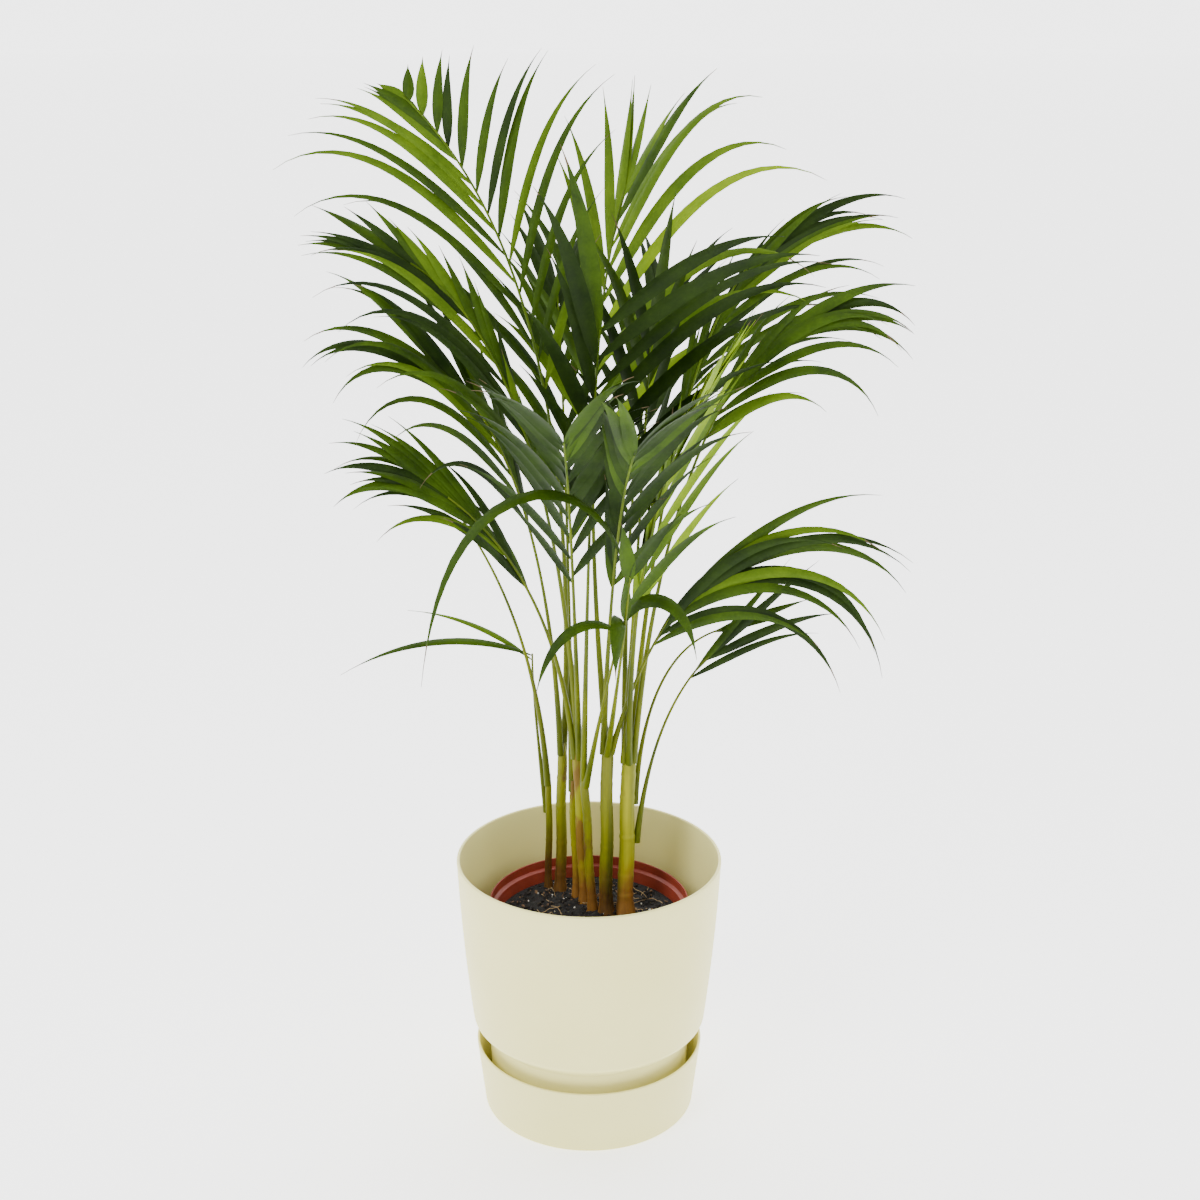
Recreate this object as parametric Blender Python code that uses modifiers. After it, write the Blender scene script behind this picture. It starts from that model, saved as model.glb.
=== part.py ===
"""Areca palm in a grower's pot, standing in a two-piece plastic planter.

Units are metres, +Z is up and the photograph looks along +Y. The origin lies on the planter's axis,
at the underside of its saucer. A clump of canes rises from the soil; each cane carries the stalks of
a few fronds on its flat top, and each frond is one thin solid: a tapering stalk with its leaflets.
"""

import math
import random
from collections import namedtuple

import bmesh
import bpy
import numpy as np
from mathutils.bvhtree import BVHTree

# Driving sizes of the pots and the soil
GAP = 0.0003
TURN_STEPS = 36
SAUCER_HEIGHT = 0.0665
SAUCER_TOP_RADIUS = 0.1090
SAUCER_FOOT_RADIUS = 0.1018
SAUCER_WALL = 0.0024
SAUCER_FLOOR = 0.0040
PLANTER_HEIGHT = 0.2566
PLANTER_RADIUS = 0.1250
PLANTER_WALL = 0.0030
PLANTER_BULGE = 0.0015
WALL_STEPS = 3
SHOULDER_HEIGHT = 0.0950
SHOULDER_RADIUS = 0.1120
SHOULDER_SLOPE = math.radians(50)
SHOULDER_TURN = 0.0070
NECK_RADIUS = 0.0965
NECK_TURN = 0.0050
NECK_FOOT_RADIUS = 0.0940
PLANTER_FLOOR = 0.0560
CUP_RIM_HEIGHT = 0.2108
CUP_RIM_RADIUS = 0.0950
CUP_RIM_DEPTH = 0.0100
CUP_TOP_RADIUS = 0.0915
CUP_FOOT_RADIUS = 0.0700
CUP_WALL = 0.0015
SOIL_TOP = 0.1900

# Driving sizes of the canes and the fronds
CANE_FLARE = 1.30
CANE_FLARE_HEIGHT = 0.012
CANE_COLLAR = 0.004
STALK_RADIUS = 0.0020
RIB_TIP_RADIUS = 0.0009
RIB_STATIONS = 9
LEAF_LOW_SHARE = 0.75
LEAF_PEAK = 0.35
LEAF_BOW = 0.8
LEAF_ROOT_HALF_WIDTH = 0.0012
LEAF_ROOT_RIDGE = 0.0009
LEAF_RIDGE_SHARE = 0.010
LONG_LEAF = 0.16
CLEARANCE = 0.0004
TRIES = 14

UP = np.array((0.0, 0.0, 1.0))

# A cane: where its foot stands on the soil, its head in space, and its radius at both ends.
Cane = namedtuple("Cane", "foot head foot_radius head_radius")
CANES = {
    "a": Cane((-0.0400, 0.0650), (-0.039, 0.065, 0.300), 0.0036, 0.0032),
    "b": Cane((-0.0280, 0.0600), (-0.026, 0.060, 0.335), 0.0056, 0.0048),
    "c": Cane((-0.0120, 0.0480), (-0.016, 0.049, 0.300), 0.0040, 0.0032),
    "d": Cane((-0.0045, 0.0350), (-0.011, 0.037, 0.340), 0.0050, 0.0048),
    "e": Cane((0.0030, 0.0180), (-0.004, 0.017, 0.320), 0.0046, 0.0042),
    "f": Cane((0.0165, 0.0130), (0.017, 0.013, 0.355), 0.0068, 0.0058),
    "g": Cane((0.0350, 0.0150), (0.037, 0.016, 0.345), 0.0080, 0.0068),
}

# One side of a frond: its longest leaflet, the angle off the rib of its lowest leaflet and of its last one,
# the lift of the leaflets, their droop, and how late the droop comes.
Side = namedtuple("Side", "leaf low last lift droop onset", defaults=(1.0,))

# A frond: its cane, its seat on the cane's top (an azimuth) or beside it (an azimuth, a height
# and how far out its stalk's centre lies, in stalk radii), the
# corner and the tip of the bend that its rib follows, the share of the rib where leaflets begin, how many
# pairs there are, the leaflet at the tip, how fast leaflets shorten, their width, and the roll of the blade.
Frond = namedtuple("Frond", "name cane seat corner tip blade pairs tip_leaf taper width roll right left")

FRONDS = [
    Frond("top_left", "b", (60,), (0.000, 0.050, 0.800), (-0.162, 0.080, 0.946), 0.55, 9, 0.026, 1.1, 0.011,
          80, Side(0.200, 20, 42, 0, 0.05), Side(0.245, 24, 14, 0, 0.11)),
    Frond("top_right", "f", (90,), (-0.016, 0.070, 0.700), (0.032, 0.100, 0.864), 0.55, 6, 0.100, 2.2, 0.014,
          0, Side(0.265, 38, 18, 5, 0.12), Side(0.175, 38, 2, 5, 0.02)),
    Frond("upright", "g", (204,), (0.045, -0.010, 0.580), (0.052, -0.020, 0.745), 0.66, 3, 0.130, 2.0, 0.014,
          0, Side(0.190, 23, 13, 0, 0.08), Side(0.120, 16, 9, 0, 0.03)),
    Frond("right_high", "g", (60,), (0.065, 0.050, 0.700), (0.140, 0.060, 0.800), 0.60, 6, 0.150, 1.5, 0.010,
          -70, Side(0.185, 34, 20, 0, 0.18), Side(0.160, 6, -14, 0, 0.22, 0.6)),
    Frond("right_mid", "g", (348,), (0.062, -0.020, 0.650), (0.150, -0.050, 0.755), 0.76, 4, 0.140, 1.5, 0.012,
          -70, Side(0.170, 24, 14, 0, 0.28), Side(0.170, 4, -20, 0, 0.28, 0.6)),
    Frond("bright", "g", (276,), (0.034, -0.050, 0.600), (0.090, -0.100, 0.712), 0.42, 6, 0.085, 2.0, 0.016,
          -20, Side(0.110, 4, 12, 0, 0.10), Side(0.170, 30, 17, 0, 0.05)),
    Frond("low_right", "f", (0,), (0.043, -0.0086, 0.455), (0.080, -0.005, 0.505), 0.74, 4, 0.230, 1.0, 0.013,
          -70, Side(0.215, 26, 12, 0, 0.26, 0.1), Side(0.250, 0, -12, 0, 0.20, 0.0)),
    Frond("small_right", "g", (10, 0.262, 0.9), (0.058, 0.030, 0.390), (0.112, 0.040, 0.442), 0.86, 2, 0.130, 1.0, 0.010,
          -70, Side(0.165, 28, 18, 0, 0.10), Side(0.145, -2, -2, 0, 0.02)),
    Frond("thin_right", "g", (40, 0.300, 0.9), (0.052, 0.050, 0.445), (0.125, 0.060, 0.462), 0.96, 1, 0.090, 1.0, 0.009,
          -60, Side(0.090, 8, 8, 0, 0.12), Side(0.090, 0, 0, 0, 0.05)),
    Frond("left_high", "d", (70,), (-0.029, -0.010, 0.740), (-0.152, 0.000, 0.812), 0.50, 7, 0.100, 1.5, 0.011,
          70, Side(0.100, 7, 4, 0, 0.14), Side(0.210, 21, 12, 0, 0.20)),
    Frond("left_front", "e", (120,), (0.000, -0.060, 0.660), (0.009, -0.090, 0.770), 0.62, 4, 0.180, 1.5, 0.016,
          0, Side(0.140, 23, 13, 0, 0.05), Side(0.255, 32, 50, 0, 0.05)),
    Frond("left_mid", "b", (240,), (-0.036, 0.020, 0.620), (-0.118, 0.010, 0.708), 0.60, 6, 0.150, 1.5, 0.011,
          60, Side(0.150, 9, 5, 0, 0.28), Side(0.200, 21, 12, 0, 0.32)),
    Frond("left_low", "d", (190,), (-0.030, 0.040, 0.520), (-0.125, 0.000, 0.606), 0.58, 6, 0.120, 1.5, 0.012,
          60, Side(0.160, 8, 3, 0, 0.30, 0.6), Side(0.150, 12, 7, 0, 0.28, 0.6)),
    Frond("left_thin", "a", (200,), (-0.050, 0.060, 0.480), (-0.128, 0.020, 0.600), 0.80, 2, 0.050, 1.5, 0.008,
          60, Side(0.060, 14, 8, 0, 0.20), Side(0.070, 14, 8, 0, 0.30)),
    Frond("lowest_left", "a", (120, 0.270, 0.45), (-0.055, 0.075, 0.390), (-0.054, 0.070, 0.434), 0.85, 0, 0.150, 1.0,
          0.009, 0, Side(0.150, 30, 30, 0, 0.30), Side(0.220, 40, 40, 0, 0.45)),
    Frond("front_bent", "f", (270,), (0.030, -0.050, 0.480), (0.035, -0.090, 0.560), 0.75, 2, 0.080, 1.0, 0.014,
          0, Side(0.070, 8, 4, 0, 0.10), Side(0.130, 28, 18, 0, 0.10)),
    Frond("front_short", "e", (300,), (0.018, -0.020, 0.450), (0.030, -0.050, 0.505), 0.85, 0, 0.100, 1.0,
          0.018, 0, Side(0.120, 50, 50, 0, 0.60), Side(0.120, 50, 50, 0, 0.60)),
    Frond("front_left", "d", (310,), (-0.015, -0.020, 0.600), (-0.020, -0.150, 0.690), 0.50, 6, 0.140, 1.5,
          0.014, 0, Side(0.150, 30, 17, 10, 0.10), Side(0.150, 30, 17, 10, 0.12)),
    Frond("front_right", "f", (180,), (0.020, -0.040, 0.600), (0.036, -0.150, 0.680), 0.50, 6, 0.140, 1.5,
          0.015, 0, Side(0.120, 6, 12, 10, 0.06), Side(0.150, 30, 17, 10, 0.10)),
    Frond("back_left", "c", (120,), (-0.020, 0.090, 0.640), (-0.030, 0.170, 0.760), 0.50, 6, 0.110, 1.5, 0.012,
          0, Side(0.140, 30, 17, 10, 0.12), Side(0.140, 30, 17, 10, 0.12)),
    Frond("back_right", "g", (132,), (0.030, 0.080, 0.620), (0.070, 0.180, 0.740), 0.50, 6, 0.110, 1.5, 0.012,
          0, Side(0.140, 30, 17, 10, 0.12), Side(0.140, 30, 17, 10, 0.12)),
]

# Single leaflets that bend out of line: their frond, their place on its rib, where they point (azimuth and
# elevation), their length, their droop and their width.
Stray = namedtuple("Stray", "frond place azimuth elevation length droop width")
STRAYS = [
    Stray("lowest_left", 0.96, 180, 42, 0.130, 0.28, 0.008),
    Stray("lowest_left", 0.99, 192, 28, 0.190, 0.27, 0.010),
    Stray("front_bent", 0.98, 200, 78, 0.330, 0.75, 0.013),
    Stray("front_short", 0.97, 345, 76, 0.115, 2.00, 0.017),
    Stray("front_short", 0.93, 200, 50, 0.118, 1.40, 0.012),
    Stray("front_short", 0.99, 262, 60, 0.080, 2.60, 0.019),
]

# A leaflet: the place of its root, the way it sets off, its width direction, the rib's direction there
# (none for a stray), its length, its droop, how late the droop comes, and its width.
Leaflet = namedtuple("Leaflet", "root heading across along length droop onset width")


def unit(vector):
    return vector / np.linalg.norm(vector)


def polar(azimuth, elevation=0.0):
    turn = math.radians(azimuth)
    rise = math.radians(elevation)
    return np.array((math.cos(rise) * math.cos(turn), math.cos(rise) * math.sin(turn), math.sin(rise)))


def seat_point(frond):
    """Foot of the frond's stalk, on top of its cane or close beside it."""
    cane = CANES[frond.cane]
    out = polar(frond.seat[0])
    head = np.array(cane.head)
    if len(frond.seat) == 1:
        ring = max(0.0, cane.head_radius - STALK_RADIUS)
        return head + out * ring + UP * GAP
    foot = np.array((cane.foot[0], cane.foot[1], SOIL_TOP + GAP))
    share = (frond.seat[1] - foot[2]) / (head[2] - foot[2])
    axis = foot + (head - foot) * share
    radius = cane.foot_radius + (cane.head_radius - cane.foot_radius) * share
    return axis + out * (radius + STALK_RADIUS * frond.seat[2] + GAP)


def rib_line(frond, steps=64):
    """Points along the rib, a quadratic bend from its foot, with the share of its length at each."""
    foot = seat_point(frond)
    at = np.linspace(0, 1, steps + 1)[:, None]
    points = foot * (1 - at) ** 2 + np.array(frond.corner) * (2 * at * (1 - at)) + np.array(frond.tip) * at * at
    run = np.concatenate([[0.0], np.cumsum(np.linalg.norm(np.diff(points, axis=0), axis=1))])
    return points, run / run[-1]


def on_rib(points, shares, place):
    return np.array([np.interp(place, shares, points[:, axis]) for axis in range(3)])


def rib_frame(frond, points, shares, place):
    """Direction of the rib at a place, the direction of its right leaflets, and the blade's upper side."""
    ahead = on_rib(points, shares, min(1.0, place + 0.01))
    behind = on_rib(points, shares, max(0.0, place - 0.01))
    along = unit(ahead - behind)
    level = unit(np.cross(along, UP))
    rise = np.cross(level, along)
    roll = math.radians(frond.roll)
    right = level * math.cos(roll) + rise * math.sin(roll)
    return along, right, np.cross(right, along)


def leaf_length(full, frond, place):
    """Length of a leaflet by its place on the blade: longest at about a third, short at the tip."""
    if place < LEAF_PEAK:
        return full * (LEAF_LOW_SHARE + (1 - LEAF_LOW_SHARE) * math.sin(0.5 * math.pi * place / LEAF_PEAK))
    fall = (place - LEAF_PEAK) / (1 - LEAF_PEAK)
    return full + (frond.tip_leaf - full) * fall ** frond.taper


def pair_leaflets(frond):
    """The leaflets of both sides, dealt out along the rib with seeded unevenness."""
    points, shares = rib_line(frond)
    dice = random.Random(frond.name)
    made = []
    for pair in range(frond.pairs):
        for hand, side in ((1, frond.right), (-1, frond.left)):
            place = (pair + 0.3 * (hand < 0) + 0.1 * dice.uniform(-1, 1)) / max(1.0, frond.pairs - 0.7)
            place = min(1.0, max(0.0, place))
            place = place * (1.35 - 0.35 * place)
            spread = side.low + (side.last - side.low) * place
            spread = math.radians(spread + 4 * dice.uniform(-1, 1))
            lift = math.radians(side.lift + 8 * dice.uniform(-1, 1))
            length = leaf_length(side.leaf, frond, place) * (1 + 0.07 * dice.uniform(-1, 1))
            droop = side.droop * (1 + 0.45 * dice.uniform(-1, 1))
            width = frond.width * (1 + 0.12 * dice.uniform(-1, 1)) * (0.85 + 0.25 * place)
            on_blade = frond.blade + (0.995 - frond.blade) * place
            along, right, upper = rib_frame(frond, points, shares, on_blade)
            out = right * hand * math.cos(lift) + upper * math.sin(lift)
            heading = unit(along * math.cos(spread) + out * math.sin(spread))
            across = unit(along - heading * np.dot(along, heading))
            root = on_rib(points, shares, on_blade)
            made.append(Leaflet(root, heading, across, along, length, droop, side.onset, width))
    return made


def stray_leaflets(frond):
    points, shares = rib_line(frond)
    made = []
    for stray in STRAYS:
        if stray.frond == frond.name:
            heading = polar(stray.azimuth, stray.elevation)
            across = unit(np.cross(heading, UP))
            root = on_rib(points, shares, stray.place)
            made.append(Leaflet(root, heading, across, None, stray.length, stray.droop, 0.0, stray.width))
    return made


def leaf_path(leaf, steps):
    """Centre points of a leaflet and its width direction at each, as it arches and sags."""
    spot = leaf.root.copy()
    heading = leaf.heading
    across = leaf.across
    spots = [spot.copy()]
    widths = [across]
    reach = leaf.length / 0.2 / steps
    for step in range(steps):
        place = (step + 0.5) / steps
        sag = leaf.droop * ((1 - leaf.onset) + leaf.onset * (0.3 + 2.1 * place * place))
        bend = -UP * sag * 4 * reach
        if leaf.along is not None:
            bend = bend - leaf.along * LEAF_BOW * 2 * place * reach
        heading = unit(heading + bend)
        spot = spot + heading * leaf.length / steps
        across = unit(across - heading * np.dot(across, heading))
        spots.append(spot.copy())
        widths.append(across)
    return np.array(spots), np.array(widths)


# Building starts here

def material(name, colour, roughness, metallic=0.0):
    made = bpy.data.materials.get(name)
    if made is None:
        made = bpy.data.materials.new(name)
        made.use_nodes = True
        shader = made.node_tree.nodes["Principled BSDF"]
        shader.inputs["Base Color"].default_value = (*colour, 1.0)
        shader.inputs["Roughness"].default_value = roughness
        shader.inputs["Metallic"].default_value = metallic
    return made


def add_object(name, data, collection, finish=None):
    thing = bpy.data.objects.new(name, data)
    collection.objects.link(thing)
    if finish:
        data.materials.append(finish)
    return thing


def arc(centre, radius, start, end, steps):
    """Points of an arc in the profile plane, from one angle to another, in degrees."""
    turns = [math.radians(start + (end - start) * step / steps) for step in range(steps + 1)]
    return [(centre[0] + radius * math.cos(turn), centre[1] + radius * math.sin(turn)) for turn in turns]


def turned(name, profile, collection, finish):
    """A solid turned from a profile that ends on the axis and runs down its outer side."""
    mesh = bpy.data.meshes.new(name)
    edges = [(step, step + 1) for step in range(len(profile) - 1)]
    mesh.from_pydata([(radius, 0.0, height) for radius, height in profile], edges, [])
    thing = add_object(name, mesh, collection, finish)
    screw = thing.modifiers.new("turn", "SCREW")
    screw.steps = TURN_STEPS
    screw.render_steps = TURN_STEPS
    screw.use_merge_vertices = True
    screw.merge_threshold = 0.00001
    screw.use_smooth_shade = True
    return thing


def saucer(collection):
    lip = SAUCER_WALL / 2
    top = SAUCER_HEIGHT - lip
    inner_foot = SAUCER_FOOT_RADIUS - SAUCER_WALL
    profile = [(0.0, SAUCER_FLOOR), (inner_foot - 0.004, SAUCER_FLOOR)]
    profile += [(inner_foot, SAUCER_FLOOR + 0.004)]
    profile += arc((SAUCER_TOP_RADIUS - lip, top), lip, 180, 0, 3)
    profile += arc((SAUCER_FOOT_RADIUS - 0.002, 0.002), 0.002, 0, -90, 2)
    profile += [(0.0, 0.0)]
    return turned("saucer", profile, collection, material("cream plastic", (0.80, 0.76, 0.57), 0.42))


def wall_line(inset):
    """The planter's wall from the rim down to the end of the neck, moved inwards by an inset."""
    rows = []
    for step in range(WALL_STEPS + 1):
        share = step / WALL_STEPS
        height = PLANTER_HEIGHT - PLANTER_WALL / 2 + (SHOULDER_HEIGHT - PLANTER_HEIGHT) * share
        height = max(height, SHOULDER_HEIGHT)
        radius = PLANTER_RADIUS + (SHOULDER_RADIUS - PLANTER_RADIUS) * share
        rows.append((radius + PLANTER_BULGE * math.sin(math.pi * share) - inset, height))
    turn = SHOULDER_TURN - inset / 2
    slope = math.degrees(SHOULDER_SLOPE)
    rows += arc((SHOULDER_RADIUS - inset - turn, SHOULDER_HEIGHT), turn, 0, -slope, 3)[1:]
    neck_turn = NECK_TURN + inset / 2
    neck = NECK_RADIUS - inset
    bend_radius = neck + neck_turn * (1 - math.cos(SHOULDER_SLOPE))
    drop = (rows[-1][0] - bend_radius) / math.tan(SHOULDER_SLOPE)
    low = rows[-1][1] - drop - neck_turn * math.sin(SHOULDER_SLOPE)
    rows += arc((neck + neck_turn, low), neck_turn, 180 - slope, 180, 2)
    return rows


def planter(collection):
    lip = PLANTER_WALL / 2
    inner = wall_line(PLANTER_WALL)
    outer = wall_line(0.0)
    foot_wall = 0.0025
    foot_height = SAUCER_FLOOR + GAP
    floor_under = PLANTER_FLOOR - PLANTER_WALL
    profile = [(0.0, PLANTER_FLOOR), (inner[-1][0] - 0.002, PLANTER_FLOOR)]
    profile += reversed(inner[1:])
    profile += arc((PLANTER_RADIUS - lip, PLANTER_HEIGHT - lip), lip, 180, 0, 3)
    profile += outer[1:]
    profile += [(NECK_FOOT_RADIUS, foot_height), (NECK_FOOT_RADIUS - foot_wall, foot_height)]
    profile += [(NECK_RADIUS - foot_wall - 0.0005, floor_under), (0.0, floor_under)]
    return turned("planter", profile, collection, material("cream plastic", (0.80, 0.76, 0.57), 0.42))


def cup_radius(height):
    """Outer radius of the grower's pot below its rim band."""
    foot = PLANTER_FLOOR + GAP
    share = (height - foot) / (CUP_RIM_HEIGHT - CUP_RIM_DEPTH - foot)
    return CUP_FOOT_RADIUS + (CUP_TOP_RADIUS - CUP_FOOT_RADIUS) * share


def nursery_pot(collection):
    foot = PLANTER_FLOOR + GAP
    band = CUP_RIM_HEIGHT - CUP_RIM_DEPTH
    lip = CUP_WALL / 2
    floor = foot + CUP_WALL
    profile = [(0.0, floor), (cup_radius(floor) - CUP_WALL, floor)]
    profile += [(cup_radius(band) - CUP_WALL, band)]
    profile += [(CUP_RIM_RADIUS - CUP_WALL, band + CUP_WALL)]
    profile += arc((CUP_RIM_RADIUS - lip, CUP_RIM_HEIGHT - lip), lip, 180, 0, 3)
    profile += [(CUP_RIM_RADIUS, band), (cup_radius(band), band)]
    profile += [(CUP_FOOT_RADIUS, foot), (0.0, foot)]
    return turned("nursery_pot", profile, collection, material("terracotta plastic", (0.27, 0.06, 0.035), 0.45))


def soil(collection):
    floor = PLANTER_FLOOR + CUP_WALL + 2 * GAP
    profile = [(0.0, SOIL_TOP), (cup_radius(SOIL_TOP) - CUP_WALL - GAP, SOIL_TOP)]
    profile += [(cup_radius(floor) - CUP_WALL - GAP, floor), (0.0, floor)]
    return turned("soil", profile, collection, material("potting soil", (0.012, 0.009, 0.006), 0.95))


def cane_object(key, collection):
    """A cane as a tube: a flared foot cut flat on the soil, a slight lean, and a flat top."""
    cane = CANES[key]
    low = SOIL_TOP + GAP
    top = cane.head[2]
    heights = [low, low + CANE_COLLAR, low + CANE_FLARE_HEIGHT]
    heights += [low + (top - low) * share for share in (0.3, 0.55, 0.8)]
    heights += [top - CANE_COLLAR, top]
    data = bpy.data.curves.new("cane_" + key, "CURVE")
    data.dimensions = "3D"
    data.bevel_depth = 1.0
    data.bevel_resolution = 2
    data.use_fill_caps = True
    spline = data.splines.new("POLY")
    spline.points.add(len(heights) - 1)
    for point, height in zip(spline.points, heights):
        lean = (height - low - CANE_COLLAR) / (top - low - 2 * CANE_COLLAR)
        lean = min(1.0, max(0.0, lean))
        share = (height - low) / (top - low)
        radius = cane.foot_radius + (cane.head_radius - cane.foot_radius) * share
        flare = max(0.0, 1 - (height - low) / CANE_FLARE_HEIGHT)
        point.co = (cane.foot[0] + (cane.head[0] - cane.foot[0]) * lean,
                    cane.foot[1] + (cane.head[1] - cane.foot[1]) * lean, height, 1.0)
        point.radius = radius * (1 + (CANE_FLARE - 1) * flare)
    return add_object("cane_" + key, data, collection, material("cane", (0.20, 0.21, 0.03), 0.55))


def loft(name, rings, tip):
    """Closed mesh through rings of three points each, ending at a single tip point or in a flat cap."""
    shape = bmesh.new()
    rows = [[shape.verts.new(point) for point in ring] for ring in rings]
    shape.faces.new(reversed(rows[0]))
    for low, high in zip(rows, rows[1:]):
        for corner in range(3):
            after = (corner + 1) % 3
            shape.faces.new((low[corner], low[after], high[after], high[corner]))
    if tip is None:
        shape.faces.new(rows[-1])
    else:
        point = shape.verts.new(tip)
        for corner in range(3):
            shape.faces.new((rows[-1][corner], rows[-1][(corner + 1) % 3], point))
    bmesh.ops.triangulate(shape, faces=shape.faces)
    bmesh.ops.recalc_face_normals(shape, faces=shape.faces)
    mesh = bpy.data.meshes.new(name)
    shape.to_mesh(mesh)
    shape.free()
    return mesh


def rib_rings(frond):
    """Three-sided sections of the stalk and rib; the foot is level, to stand flat on its cane."""
    points, shares = rib_line(frond)
    side = unit(np.cross(unit(points[-1] - points[0]), UP))
    rings = []
    for station in range(RIB_STATIONS):
        place = station / (RIB_STATIONS - 1)
        centre = on_rib(points, shares, place)
        along = UP if station == 0 else rib_frame(frond, points, shares, place)[0]
        level = unit(side - along * np.dot(side, along))
        rise = np.cross(level, along)
        radius = STALK_RADIUS + (RIB_TIP_RADIUS - STALK_RADIUS) * place
        turns = [math.radians(90 + 120 * corner) for corner in range(3)]
        rings.append([centre + (level * math.cos(turn) + rise * math.sin(turn)) * radius for turn in turns])
    return rings


def leaf_stations(leaf):
    """Places along a leaflet where its section is drawn, with the share of its width at each."""
    if leaf.length > LONG_LEAF:
        return ((0.0, None), (0.30, 1.0), (0.68, 0.85))
    return ((0.0, None), (0.40, 1.0))


def leaf_rings(leaf, swell=0.0):
    """Three-sided sections of a leaflet and its tip, each side moved out by a swell."""
    steps = 20
    spots, widths = leaf_path(leaf, steps)
    rings = []
    for place, share in leaf_stations(leaf):
        row = round(place * steps)
        spot = spots[row]
        ahead = unit(spots[min(row + 1, steps)] - spots[max(row - 1, 0)])
        across = unit(widths[row] - ahead * np.dot(widths[row], ahead))
        upper = np.cross(across, ahead)
        if upper[2] < 0:
            upper = -upper
        half = LEAF_ROOT_HALF_WIDTH if share is None else leaf.width * share / 2
        ridge = LEAF_ROOT_RIDGE if share is None else leaf.length * LEAF_RIDGE_SHARE
        low = spot - upper * (ridge / 2 + swell)
        high = spot + upper * (ridge / 2 + swell)
        rings.append([low - across * (half + 2 * swell), low + across * (half + 2 * swell), high])
    return rings, spots[-1]


def tree_of(rings, tip):
    """Search tree of a loft's triangles, for the test of one solid against others."""
    corners = [tuple(point) for ring in rings for point in ring]
    faces = [(0, 1, 2)]
    for row in range(len(rings) - 1):
        for corner in range(3):
            low = 3 * row + corner
            after = 3 * row + (corner + 1) % 3
            faces += [(low, after, after + 3), (low, after + 3, low + 3)]
    last = 3 * (len(rings) - 1)
    if tip is not None:
        corners.append(tuple(tip))
        faces += [(last + corner, last + (corner + 1) % 3, len(corners) - 1) for corner in range(3)]
    return BVHTree.FromPolygons(corners, faces)


def turned_leaf(leaf, dice, effort):
    """The same leaflet turned a little and perhaps shortened, the more so the more effort it takes."""
    if effort == 0:
        return leaf
    sway = 0.03 * effort
    heading = unit(leaf.heading + np.array([dice.uniform(-sway, sway) for axis in range(3)]))
    across = unit(leaf.across - heading * np.dot(leaf.across, heading))
    length = leaf.length * (1 - 0.02 * effort * dice.random())
    return leaf._replace(heading=heading, across=across, length=length)


def place_leaflets():
    """Leaflets of every frond, each turned until it clears the canes and every other frond, or left out."""
    walls = {}
    for key in CANES:
        shape = bpy.data.objects["cane_" + key].evaluated_get(bpy.context.evaluated_depsgraph_get()).to_mesh()
        corners = [tuple(vertex.co) for vertex in shape.vertices]
        walls["cane_" + key] = [BVHTree.FromPolygons(corners, [tuple(face.vertices) for face in shape.polygons])]
    for frond in FRONDS:
        walls[frond.name] = [tree_of(rib_rings(frond), None)]
    placed = {}
    for frond in FRONDS:
        dice = random.Random(frond.name + " turns")
        placed[frond.name] = []
        outer_parts = []
        for leaf in stray_leaflets(frond) + pair_leaflets(frond):
            for effort in range(TRIES):
                tried = turned_leaf(leaf, dice, effort)
                rings, tip = leaf_rings(tried, CLEARANCE)
                tree = tree_of(rings, tip)
                outer = tree_of(rings[1:], tip)
                others = [wall for name, trees in walls.items() if name != frond.name for wall in trees]
                if any(tree.overlap(wall) for wall in others) or any(outer.overlap(part) for part in outer_parts):
                    continue
                placed[frond.name].append(tried)
                walls[frond.name].append(tree)
                outer_parts.append(outer)
                break
    return placed


def largest_body(mesh):
    """Keep only the largest closed body of a fused mesh, so that sealed hollows and scraps go."""
    shape = bmesh.new()
    shape.from_mesh(mesh)
    left = set(shape.faces)
    bodies = []
    while left:
        stack = [left.pop()]
        body = []
        while stack:
            face = stack.pop()
            body.append(face)
            for edge in face.edges:
                for near in edge.link_faces:
                    if near in left:
                        left.remove(near)
                        stack.append(near)
        bodies.append(body)
    bodies.sort(key=len)
    scraps = [face for body in bodies[:-1] for face in body]
    if scraps:
        bmesh.ops.delete(shape, geom=scraps, context="FACES")
    bmesh.ops.triangulate(shape, faces=shape.faces)
    closed = all(len(edge.link_faces) == 2 for edge in shape.edges)
    shape.to_mesh(mesh)
    shape.free()
    return closed


def frond_object(frond, leaves, collection):
    """A frond fused from its rib and its leaflets by one Boolean union."""
    finish = material("frond green", (0.045, 0.11, 0.012), 0.45)
    name = "frond_" + frond.name
    thing = add_object(name, loft(name, rib_rings(frond), None), collection, finish)
    spare = bpy.data.collections.new(frond.name + " leaflets")
    bpy.context.scene.collection.children.link(spare)
    for number, leaf in enumerate(leaves):
        add_object("leaflet_" + str(number), loft("leaflet", *leaf_rings(leaf)), spare)
    rib_mesh = thing.data
    for solver in ("EXACT", "MANIFOLD"):
        thing.data = rib_mesh
        union = thing.modifiers.new("fuse", "BOOLEAN")
        union.operation = "UNION"
        union.operand_type = "COLLECTION"
        union.collection = spare
        union.solver = solver
        graph = bpy.context.evaluated_depsgraph_get()
        fused = bpy.data.meshes.new_from_object(thing.evaluated_get(graph))
        thing.modifiers.clear()
        thing.data = fused
        if largest_body(fused):
            break
    for leaflet in list(spare.objects):
        bpy.data.objects.remove(leaflet, do_unlink=True)
    bpy.data.collections.remove(spare)
    return thing


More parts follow.
